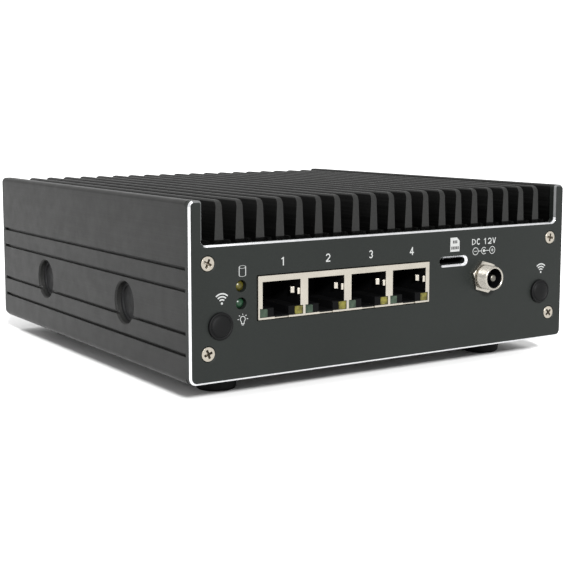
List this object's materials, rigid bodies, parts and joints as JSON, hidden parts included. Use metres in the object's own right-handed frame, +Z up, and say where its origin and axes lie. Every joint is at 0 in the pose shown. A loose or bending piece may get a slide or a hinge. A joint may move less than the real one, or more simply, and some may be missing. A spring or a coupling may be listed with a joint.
{
  "type": "firewall appliance",
  "caption": "Small fanless network firewall: finned aluminium case with network ports, a card slot, a threaded DC jack and antenna plugs in its front panel.",
  "frame": {"origin": "on the ground under the middle of the whole object, jack and button included", "axes": "+Z up; -Y out of the front panel with the network ports; +X to the right when looking at that panel"},
  "size_m": [0.128, 0.1362, 0.0515],
  "materials": {
    "anodised_black": "fine bead-blasted, dark grey anodised, bright machined edges",
    "bottom_paint": "fine textured black powder coat",
    "nickel": "satin nickel plate",
    "screw_steel": "nickel-plated steel",
    "rubber": "matte black rubber",
    "side_plug_plastic": "matte dark grey plastic",
    "black_plastic": "moulded black plastic",
    "blue_plastic": "moulded blue plastic",
    "circuit_board": "green solder mask",
    "chip_epoxy": "moulded black epoxy",
    "contact_gold": "gold-plated phosphor bronze",
    "led_green": "tinted clear lens, green, unlit",
    "led_yellow": "tinted clear lens, yellow, unlit",
    "thermal_pad": "soft grey silicone",
    "block_aluminium": "bare machined aluminium"
  },
  "bodies": {
    "case": {"board_pillars": "nickel", "board_screws": "screw_steel", "bottom_cover": "bottom_paint", "bottom_cover_screws": "screw_steel", "coin_cell": "nickel", "coin_cell_holder": "black_plastic", "dc_jack_barrel": "nickel", "dc_jack_body": "black_plastic", "dc_jack_nut": "nickel", "dc_jack_pin": "nickel", "firmware_chip": "chip_epoxy", "front_panel": "anodised_black", "front_panel_screws": "screw_steel", "hdmi_insert": "black_plastic", "hdmi_shell": "nickel", "heat_block": "block_aluminium", "heat_block_screws": "screw_steel", "heatsink_body": "anodised_black", "lan_contacts": "contact_gold", "lan_controllers": "chip_epoxy", "lan_leds_green": "led_green", "lan_leds_yellow": "led_yellow", "lan_port_housing": "black_plastic", "lan_port_shield": "nickel", "lan_port_springs": "nickel", "lan_transformers": "chip_epoxy", "led_holder": "black_plastic", "mainboard": "circuit_board", "memory_chips": "chip_epoxy", "memory_module": "circuit_board", "memory_socket": "black_plastic", "modem_socket": "black_plastic", "power_capacitors": "block_aluminium", "power_inductors": "chip_epoxy", "power_switch": "black_plastic", "processor": "chip_epoxy", "rear_panel": "anodised_black", "rear_panel_screws": "screw_steel", "rubber_feet": "rubber", "side_plugs": "side_plug_plastic", "sim_reader": "black_plastic", "sim_spacer": "black_plastic", "ssd_card": "circuit_board", "ssd_chips": "chip_epoxy", "ssd_post": "screw_steel", "ssd_screw": "screw_steel", "ssd_socket": "black_plastic", "status_led_green": "led_green", "status_led_yellow": "led_yellow", "thermal_pad": "thermal_pad", "usb_inserts": "blue_plastic", "usb_shells": "nickel"},
    "antenna_plug_left": {"antenna_plug_left": "rubber"},
    "antenna_plug_right": {"antenna_plug_right": "rubber"},
    "power_button": {"power_button_cap": "black_plastic", "power_switch_plunger": "black_plastic"}
  },
  "joints": [
    {"name": "antenna_plug_left_pull", "type": "slide", "parent": "case", "child": "antenna_plug_left", "axis": [0, -1, 0], "range_m": [0, 0.008]},
    {"name": "antenna_plug_right_pull", "type": "slide", "parent": "case", "child": "antenna_plug_right", "axis": [0, -1, 0], "range_m": [0, 0.008]},
    {"name": "power_button_press", "type": "slide", "parent": "case", "child": "power_button", "axis": [0, -1, 0], "range_m": [0, 0.0008], "stiffness_N_per_m": 900, "springref_m": -0.0006}
  ]
}
